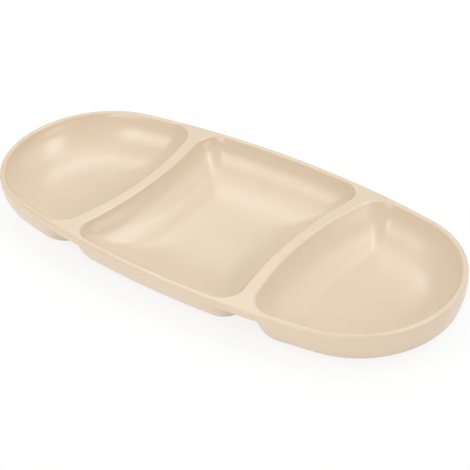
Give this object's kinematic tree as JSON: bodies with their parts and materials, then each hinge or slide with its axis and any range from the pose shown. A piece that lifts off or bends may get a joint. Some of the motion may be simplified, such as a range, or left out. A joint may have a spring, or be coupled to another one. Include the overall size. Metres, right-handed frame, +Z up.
{
  "type": "divided serving bowl",
  "caption": "Shallow oval serving bowl, moulded in one piece, with a D-shaped well at each end and a four-sided well between two hollow dividers.",
  "frame": {"origin": "middle of the base, on the plane that the three feet stand on", "axes": "+X along the bowl's length, +Y across it, +Z up out of the wells"},
  "size_m": [0.383, 0.167, 0.025],
  "materials": {
    "moulding": "satin beige moulded melamine"
  },
  "bodies": {
    "root": {"divided_bowl": "moulding"}
  },
  "joints": []
}
